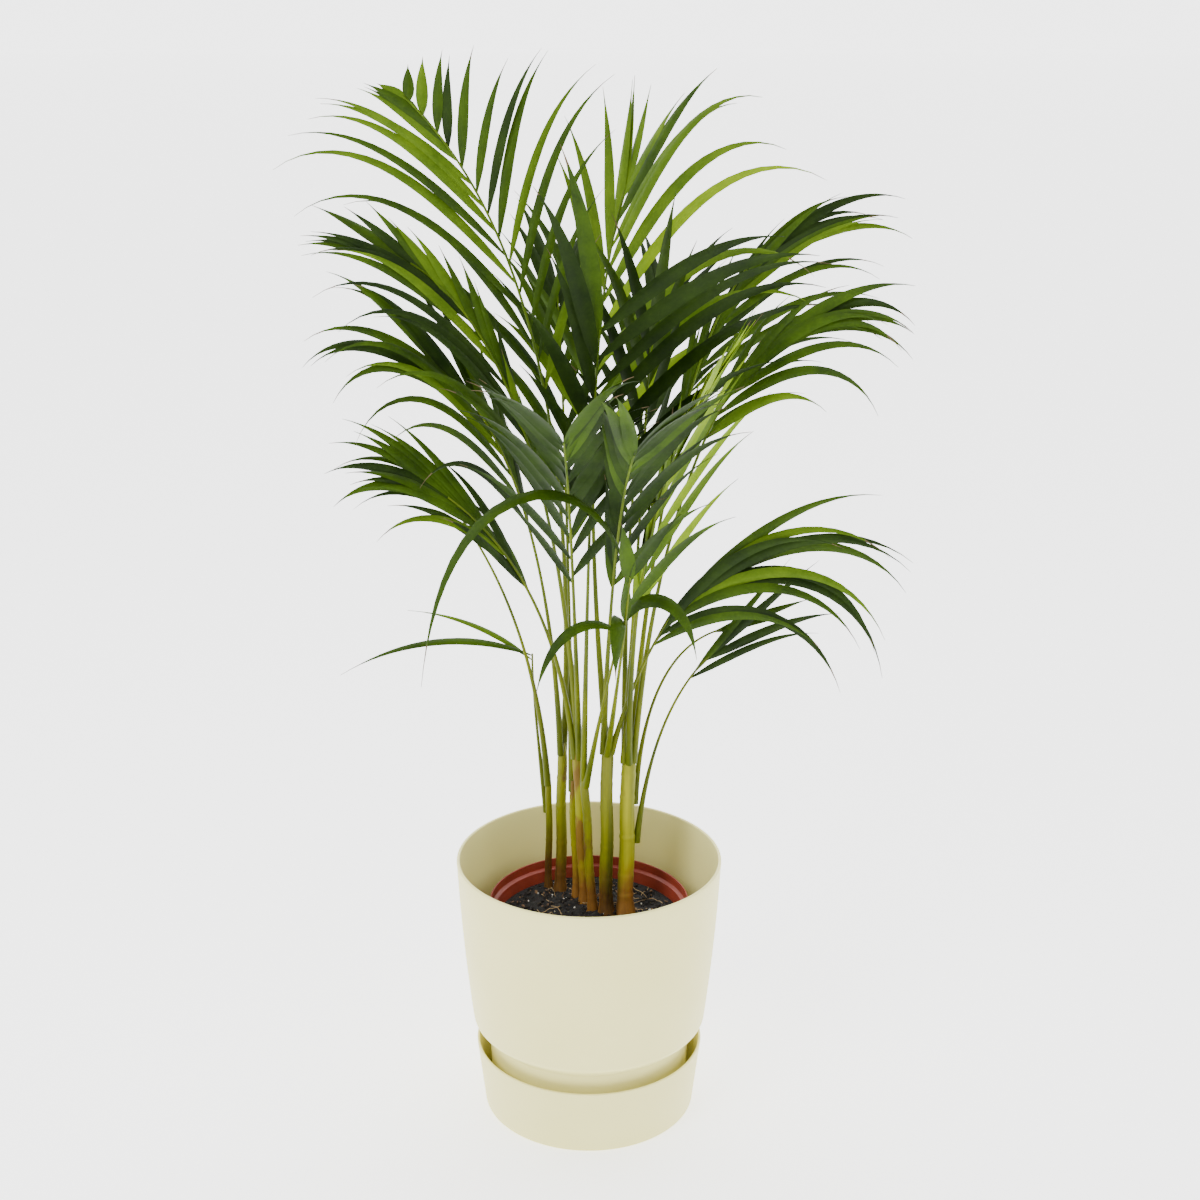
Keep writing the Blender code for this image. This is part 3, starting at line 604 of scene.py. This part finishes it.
def arc(centre, radius, start, end, steps):
    """Points of a round stretch of a profile, from one angle to another in degrees."""
    turns = [math.radians(start + (end - start) * step / steps) for step in range(steps + 1)]
    return [(centre[0] + radius * math.cos(turn), centre[1] + radius * math.sin(turn)) for turn in turns]


def spun(name, profile, sharp=40):
    """A mesh turned about the axis from a profile that starts and ends on it."""
    shape = bmesh.new()
    row = [shape.verts.new((radius, 0.0, height)) for radius, height in profile]
    edges = [shape.edges.new(pair) for pair in zip(row, row[1:])]
    bmesh.ops.spin(shape, geom=row + edges, cent=(0, 0, 0), axis=(0, 0, 1), dvec=(0, 0, 0),
                   angle=math.tau, steps=TURN_STEPS, use_merge=True, use_duplicate=False)
    bmesh.ops.remove_doubles(shape, verts=shape.verts, dist=SAME_SPOT)
    bmesh.ops.recalc_face_normals(shape, faces=shape.faces)
    return smoothed(mesh_of(name, shape), sharp)


def saucer_profile():
    lip = SAUCER_WALL / 2
    top = SAUCER_HEIGHT - lip
    inner = SAUCER_FOOT_RADIUS - SAUCER_WALL - SAUCER_INNER_ROUND
    rows = [(0.0, SAUCER_FLOOR), (inner, SAUCER_FLOOR)]
    rows += arc((inner, SAUCER_FLOOR + SAUCER_INNER_ROUND), SAUCER_INNER_ROUND, -90, 0, 6)
    rows += arc((SAUCER_TOP_RADIUS - lip, top), lip, 180, 0, 10)
    rows += arc((SAUCER_FOOT_RADIUS - SAUCER_FOOT_ROUND, SAUCER_FOOT_ROUND), SAUCER_FOOT_ROUND, 0, -90, 8)
    return rows + [(0.0, 0.0)]


def wall_line(inset):
    """The planter's wall from the rim down to the end of the neck, moved inwards by an inset."""
    rows = []
    for step in range(WALL_ROWS + 1):
        share = step / WALL_ROWS
        height = PLANTER_HEIGHT - PLANTER_WALL / 2 + (SHOULDER_HEIGHT - PLANTER_HEIGHT) * share
        height = max(height, SHOULDER_HEIGHT)
        radius = PLANTER_RADIUS + (SHOULDER_RADIUS - PLANTER_RADIUS) * share
        rows.append((radius + PLANTER_BULGE * math.sin(math.pi * share) - inset, height))
    turn = SHOULDER_TURN - inset / 2
    slope = math.degrees(SHOULDER_SLOPE)
    rows += arc((SHOULDER_RADIUS - inset - turn, SHOULDER_HEIGHT), turn, 0, -slope, 8)[1:]
    neck_turn = NECK_TURN + inset / 2
    neck = NECK_RADIUS - inset
    bend_radius = neck + neck_turn * (1 - math.cos(SHOULDER_SLOPE))
    drop = (rows[-1][0] - bend_radius) / math.tan(SHOULDER_SLOPE)
    low = rows[-1][1] - drop - neck_turn * math.sin(SHOULDER_SLOPE)
    return rows + arc((neck + neck_turn, low), neck_turn, 180 - slope, 180, 6)


def planter_profile():
    lip = PLANTER_WALL / 2
    foot = SAUCER_FLOOR + GAP
    under = PLANTER_FLOOR - PLANTER_WALL
    inner = wall_line(PLANTER_WALL)
    rows = [(0.0, PLANTER_FLOOR), (inner[-1][0] - PLANTER_FLOOR_EASE, PLANTER_FLOOR)]
    rows += reversed(inner[1:])
    rows += arc((PLANTER_RADIUS - lip, PLANTER_HEIGHT - lip), lip, 180, 0, 10)
    rows += wall_line(0.0)[1:]
    rows += [(NECK_FOOT_RADIUS, foot), (NECK_FOOT_RADIUS - NECK_FOOT_WALL, foot)]
    return rows + [(NECK_RADIUS - NECK_FOOT_WALL - NECK_TAPER, under), (0.0, under)]


def cup_radius(height):
    """Outer radius of the grower's pot below its rim band."""
    foot = PLANTER_FLOOR + GAP
    share = (height - foot) / (CUP_RIM_HEIGHT - CUP_RIM_DEPTH - foot)
    return CUP_FOOT_RADIUS + (CUP_TOP_RADIUS - CUP_FOOT_RADIUS) * share


def cup_profile():
    foot = PLANTER_FLOOR + GAP
    band = CUP_RIM_HEIGHT - CUP_RIM_DEPTH
    lip = CUP_WALL / 2
    floor = foot + CUP_WALL
    rows = [(0.0, floor), (cup_radius(floor) - CUP_WALL, floor), (cup_radius(band) - CUP_WALL, band)]
    rows += [(CUP_RIM_RADIUS - CUP_WALL, band + CUP_WALL)]
    rows += arc((CUP_RIM_RADIUS - lip, CUP_RIM_HEIGHT - lip), lip, 180, 0, 8)
    rows += [(CUP_RIM_RADIUS, band), (cup_radius(band), band), (CUP_FOOT_RADIUS, foot)]
    return rows + [(0.0, foot)]


def soil_mesh():
    """The soil, its top roughened, its sides inside the grower's pot."""
    floor = PLANTER_FLOOR + CUP_WALL + 2 * GAP
    edge = cup_radius(SOIL_TOP) - CUP_WALL - GAP
    rows = [(edge * step / SOIL_RINGS, SOIL_TOP) for step in range(SOIL_RINGS + 1)]
    rows += [(cup_radius(floor) - CUP_WALL - GAP, floor), (0.0, floor)]
    mesh = spun("soil", rows, 180)
    for vertex in mesh.vertices:
        spot = vertex.co
        if spot.z > SOIL_TOP - GAP:
            inward = min(1.0, (edge - math.hypot(spot.x, spot.y)) / SOIL_EDGE_EASE)
            rough = noise.fractal(Vector(spot) * SOIL_GRAIN, 1.0, 2.0, 4)
            spot.z += inward * SOIL_ROUGHNESS * rough
    return mesh


def scatter(name, count, seed, make):
    """Many small shapes joined in one mesh, dealt over the soil."""
    dice = random.Random(seed)
    shape = bmesh.new()
    edge = cup_radius(SOIL_TOP) - LITTER_INSET
    for number in range(count):
        turn = dice.uniform(0, math.tau)
        radius = edge * math.sqrt(dice.random())
        height = SOIL_TOP + dice.uniform(*LITTER_HEIGHT)
        make(shape, dice, Vector((radius * math.cos(turn), radius * math.sin(turn), height)))
    return mesh_of(name, shape)


def chip(shape, dice, spot):
    """A flattened, uneven crumb or chip of bark, turned any way."""
    size = dice.uniform(*CHIP_SIZE)
    turn = dice.uniform(0, math.tau)
    axis = Vector((dice.uniform(-1, 1), dice.uniform(-1, 1), 1))
    length = size * dice.uniform(*CHIP_LENGTH)
    width = size * dice.uniform(*CHIP_WIDTH)
    height = size * dice.uniform(*CHIP_HEIGHT)
    shape_of_chip = Matrix.Diagonal((length, width, height, 1))
    place = Matrix.Translation(spot) @ Matrix.Rotation(turn, 4, axis) @ shape_of_chip
    made = bmesh.ops.create_icosphere(shape, subdivisions=1, radius=0.5, matrix=place)
    for vertex in made["verts"]:
        vertex.co += Vector([dice.uniform(-CHIP_UNEVEN, CHIP_UNEVEN) * size for way in range(3)])


def speck(shape, dice, spot):
    """A pale mineral grain."""
    size = dice.uniform(*GRAIN_SIZE)
    place = Matrix.Translation(spot + Vector((0, 0, GRAIN_LIFT)))
    bmesh.ops.create_icosphere(shape, subdivisions=1, radius=size / 2, matrix=place)


def tube_mesh(name, lines, resolution=3):
    """Round tubes along lines of (point, radius), joined in one mesh."""
    data = bpy.data.curves.new(name, "CURVE")
    data.dimensions = "3D"
    data.bevel_depth = 1.0
    data.bevel_resolution = resolution
    data.use_fill_caps = True
    for line in lines:
        spline = data.splines.new("POLY")
        spline.points.add(len(line) - 1)
        for point, (spot, radius) in zip(spline.points, line):
            point.co = (*spot, 1.0)
            point.radius = radius
    guide = bpy.data.objects.new(name, data)
    bpy.context.scene.collection.objects.link(guide)
    bpy.context.view_layer.update()
    swept = bpy.data.meshes.new_from_object(guide.evaluated_get(bpy.context.evaluated_depsgraph_get()))
    bpy.data.objects.remove(guide, do_unlink=True)
    shape = bmesh.new()
    shape.from_mesh(swept)
    bpy.data.meshes.remove(swept)
    bmesh.ops.remove_doubles(shape, verts=shape.verts, dist=SAME_TUBE_SPOT)
    return smoothed(mesh_of(name, shape), 50)


def fibre_lines(count, seed):
    """Short wandering root fibres that settle on the soil."""
    dice = random.Random(seed)
    lines = []
    for number in range(count):
        turn = dice.uniform(0, math.tau)
        radius = FIBRE_REACH * math.sqrt(dice.random())
        spot = np.array((radius * math.cos(turn), radius * math.sin(turn), SOIL_TOP + FIBRE_START))
        heading = polar(dice.uniform(0, 360), dice.uniform(*FIBRE_RISE))
        line = []
        for step in range(FIBRE_POINTS):
            line.append((spot.copy(), FIBRE_RADIUS))
            wander = np.array([dice.uniform(-FIBRE_WANDER, FIBRE_WANDER) for way in range(3)])
            heading = unit(heading + wander - UP * FIBRE_SAG)
            spot = spot + heading * dice.uniform(*FIBRE_STEP)
            spot[2] = max(spot[2], SOIL_TOP + FIBRE_REST)
        lines.append(line)
    return lines


def ring_heights(top, dice):
    """Heights of a cane's ring scars, unevenly spaced."""
    rings = []
    height = SOIL_TOP + dice.uniform(*FIRST_RING)
    while height < top - LAST_RING:
        rings.append(height)
        height += dice.uniform(*RING_SPACING)
    return rings


def cane_line(key):
    """A cane's centre points and radii, with ring scars and the flare of its foot."""
    cane = CANES[key]
    low = SOIL_TOP - CANE_DEPTH
    top = cane.head[2] + CANE_OVERLAP
    rings = ring_heights(top, random.Random("cane " + key))
    line = []
    for step in range(CANE_STEPS + 1):
        share = step / CANE_STEPS
        height = low + (top - low) * share
        radius = cane.foot_radius + (cane.head_radius - cane.foot_radius) * share
        radius *= 1 + CANE_FLARE * max(0.0, 1 - (height - SOIL_TOP) / CANE_FLARE_HEIGHT)
        for ring in rings:
            away = (height - ring) / RING_HEIGHT
            radius *= 1 + RING_SWELL * math.exp(-away * away)
            radius *= 1 - RING_NECK_SHARE * (0 < height - ring < RING_NECK)
        close = max(0.0, 1 - (top - height) / CANE_CLOSE_LENGTH)
        radius *= 1 - CANE_CLOSE_SHARE * close
        sway = SWAY * math.sin(height * SWAY_TURN + ord(key))
        lean = min(1.0, max(0.0, (height - SOIL_TOP) / (cane.head[2] - SOIL_TOP)))
        spot = (cane.foot[0] + (cane.head[0] - cane.foot[0]) * lean + sway,
                cane.foot[1] + (cane.head[1] - cane.foot[1]) * lean, height)
        line.append((spot, radius))
    return line


def rib_tube(frond):
    """The frond's stalk and rib, thicker where the sheath wraps its lower part."""
    line = []
    for point, share in zip(*rib_line(frond, RIB_STEPS)):
        radius = STALK_RADIUS + (RIB_TIP_RADIUS - STALK_RADIUS) * share
        line.append((point, radius * (1 + SHEATH_GAIN * max(0.0, 1 - share / SHEATH_SHARE))))
    return line


def leaf_rings(leaf, dice, roll):
    """The sections of one leaflet, a folded blade that ends in a thread."""
    spots, widths = leaf_path(leaf, LEAF_STEPS)
    places = np.linspace(0, 1, LEAF_STEPS + 1)
    shares = np.interp(places, *zip(*LEAF_OUTLINE))
    twist = dice.uniform(-LEAF_TWIST, LEAF_TWIST)
    corners = []
    for row, (spot, share) in enumerate(zip(spots, shares)):
        ahead = unit(spots[min(row + 1, LEAF_STEPS)] - spots[max(row - 1, 0)])
        level = unit(widths[row] - ahead * np.dot(widths[row], ahead))
        rise = np.cross(level, ahead)
        if rise[2] < 0:
            rise = -rise
        turn = twist * places[row] + math.copysign(roll, level[1])
        across = level * math.cos(turn) + rise * math.sin(turn)
        upper = rise * math.cos(turn) - level * math.sin(turn)
        half = max(leaf.width * LEAF_SLIM * share / 2, THREAD_HALF_WIDTH)
        fold = FOLD * half + BLADE_THICKNESS
        for side, height in SECTION:
            corners.append(spot + across * side * half + upper * (height * fold - SECTION_DROP * fold))
    return corners


def leaf_faces(start):
    """Faces between a leaflet's sections, row by row, and then the two that close its ends."""
    sides = len(SECTION)
    faces = []
    for row in range(LEAF_STEPS):
        low = start + row * sides
        for side in range(sides):
            after = (side + 1) % sides
            faces.append((low + side, low + after, low + sides + after, low + sides + side))
    last = start + LEAF_STEPS * sides
    faces.append(tuple(reversed(range(start, start + sides))))
    faces.append(tuple(range(last, last + sides)))
    return faces


def dry_row_count(dice):
    """How many rows at the tip of a leaflet are dry and brown."""
    chance = dice.random()
    if chance < LONG_DRY_CHANCE:
        return 2
    return 1 if chance < SHORT_DRY_CHANCE else 0


def leaf_mesh(name, leaves, rolls, dealt, finishes):
    """A frond's leaflets in one mesh, each in the tint dealt to it, dry tips in the last finish."""
    dice = random.Random(name)
    brown = len(finishes) - 1
    corners = []
    faces = []
    paints = []
    for leaf, roll, tint in zip(leaves, rolls, dealt):
        faces += leaf_faces(len(corners))
        corners += leaf_rings(leaf, dice, roll)
        green_rows = LEAF_STEPS - dry_row_count(dice)
        for row in range(LEAF_STEPS):
            paints += [tint if row < green_rows else brown] * len(SECTION)
        paints += [tint, brown]
    raw = bpy.data.meshes.new(name)
    raw.from_pydata([tuple(corner) for corner in corners], [], faces)
    shape = bmesh.new()
    shape.from_mesh(raw)
    bpy.data.meshes.remove(raw)
    bmesh.ops.recalc_face_normals(shape, faces=shape.faces)
    mesh = mesh_of(name, shape)
    mesh.polygons.foreach_set("material_index", paints)
    for finish in finishes:
        mesh.materials.append(finish)
    return smoothed(mesh, 60)


def build_pots():
    cream = cream_plastic()
    saucer = spun("saucer_shell", saucer_profile())
    planter = spun("planter_shell", planter_profile())
    cup = spun("grower_cup", cup_profile())
    finish_piece("saucer_shell", saucer, cream, "planter_plastic", "saucer")
    finish_piece("planter_shell", planter, cream, "planter_plastic", "planter")
    finish_piece("grower_cup", cup, cup_plastic(), "cup_plastic", "nursery_pot")


def build_soil():
    finish_piece("soil_bed", soil_mesh(), soil_finish(), "soil", "soil")
    dark = litter_finish("dark bark", (0.002, 0.0014, 0.001), (0.014, 0.008, 0.004))
    pale = litter_finish("pale bark", (0.060, 0.032, 0.015), (0.22, 0.13, 0.065))
    straw = litter_finish("straw", (0.16, 0.10, 0.045), (0.42, 0.30, 0.15))
    white = litter_finish("mineral grains", (0.45, 0.43, 0.38), (0.80, 0.78, 0.72))
    finish_piece("soil_crumbs", scatter("soil_crumbs", 1100, seed=11, make=chip), dark, "soil")
    finish_piece("soil_chips", scatter("soil_chips", 170, seed=12, make=chip), pale, "soil")
    finish_piece("soil_grains", scatter("soil_grains", 60, seed=13, make=speck), white, "soil")
    fibres = tube_mesh("soil_fibres", fibre_lines(70, seed=14), resolution=1)
    finish_piece("soil_fibres", fibres, straw, "soil")


def build_canes():
    finish = cane_finish()
    for key in CANES:
        name = "stem_" + key
        finish_piece(name, tube_mesh(name, [cane_line(key)], resolution=5), finish, "cane", "cane_" + key)


def build_fronds():
    stalk = stalk_finish()
    finishes = [
        # The deep tint is the leaves' own dark green and also painted shade on the front and inner fronds.
        leaf_finish("deep leaf", (0.005, 0.014, 0.0005), (0.016, 0.036, 0.001), 0.42),
        leaf_finish("mid leaf", (0.013, 0.031, 0.0005), (0.036, 0.074, 0.001), 0.44),
        leaf_finish("fresh leaf", (0.038, 0.078, 0.001), (0.084, 0.146, 0.002), 0.46),
        leaf_finish("bright leaf", (0.100, 0.176, 0.001), (0.180, 0.275, 0.003), 0.48),
        leaf_finish("dry tip", (0.060, 0.042, 0.020), (0.15, 0.11, 0.060), 0.7),
    ]
    for frond in FRONDS:
        node = "frond_" + frond.name
        name = "rib_" + frond.name
        finish_piece(name, tube_mesh(name, [rib_tube(frond)]), stalk, "leaf", node)
        strays = stray_leaflets(frond)
        pairs = pair_leaflets(frond)
        rolls = [STRAY_ROLL] * len(strays) + [0.0] * len(pairs)
        dice = random.Random(frond.name + " tints")
        # Tints are dealt by the table's shares; the deep tint paints shade on the front and inner fronds.
        dealt = dice.choices(range(len(finishes) - 1), TINTS_WITH_PAINTED_SHADE[frond.name], k=len(rolls))
        name = "leaflets_" + frond.name
        finish_piece(name, leaf_mesh(name, strays + pairs, rolls, dealt, finishes), None, "leaf", node)


def build_stage():
    """A pale floor with a far wall behind it, and an even white sky."""
    shape = bmesh.new()
    bmesh.ops.create_grid(shape, x_segments=1, y_segments=1, size=FLOOR_SIZE)
    mesh = mesh_of("floor", shape)
    white = (1.0, 1.0, 1.0)
    pale = (0.93, 0.93, 0.93)
    paint = Paint("floor", Base_Color=pale, Roughness=0.9, Emission_Color=white, Emission_Strength=FLOOR_GLOW)
    mesh.materials.append(paint.material)
    floor = bpy.data.objects.new("floor", mesh)
    wall = bpy.data.objects.new("wall", mesh)
    wall.location = (0.0, WALL_DISTANCE, 0.0)
    wall.rotation_euler = (math.radians(90), 0.0, 0.0)
    bpy.context.scene.collection.objects.link(floor)
    bpy.context.scene.collection.objects.link(wall)
    world = bpy.data.worlds.new("studio")
    world.use_nodes = True
    sky = world.node_tree.nodes["Background"]
    sky.inputs["Color"].default_value = (*white, 1.0)
    sky.inputs["Strength"].default_value = SKY_STRENGTH
    bpy.context.scene.world = world


def add_light(name, spot, aim, size, power):
    """A round soft light that points at an aim."""
    data = bpy.data.lights.new(name, "AREA")
    data.shape = "DISK"
    data.size = size
    data.energy = power
    light = bpy.data.objects.new(name, data)
    light.location = spot
    light.rotation_euler = (Vector(aim) - Vector(spot)).to_track_quat("-Z", "Y").to_euler()
    bpy.context.scene.collection.objects.link(light)


def build_lights():
    add_light("key", (-1.6, -1.9, 2.3), aim=(0, 0, 0.5), size=1.4, power=58)
    add_light("fill", (1.9, -1.6, 1.4), aim=(0, 0, 0.5), size=1.6, power=12)
    add_light("top", (0.2, 0.6, 2.6), aim=(0, 0, 0.6), size=1.4, power=16)


def build_camera():
    data = bpy.data.cameras.new("camera")
    data.lens = CAMERA_LENS
    data.sensor_width = CAMERA_SENSOR
    data.shift_x = CAMERA_SHIFT
    camera = bpy.data.objects.new("camera", data)
    camera.location = (0.0, -CAMERA_DISTANCE, CAMERA_HEIGHT)
    camera.rotation_euler = (math.radians(90) - CAMERA_PITCH, 0.0, 0.0)
    bpy.context.scene.collection.objects.link(camera)
    bpy.context.scene.camera = camera


build_camera()
build_stage()
build_lights()
build_pots()
build_soil()
build_canes()
build_fronds()
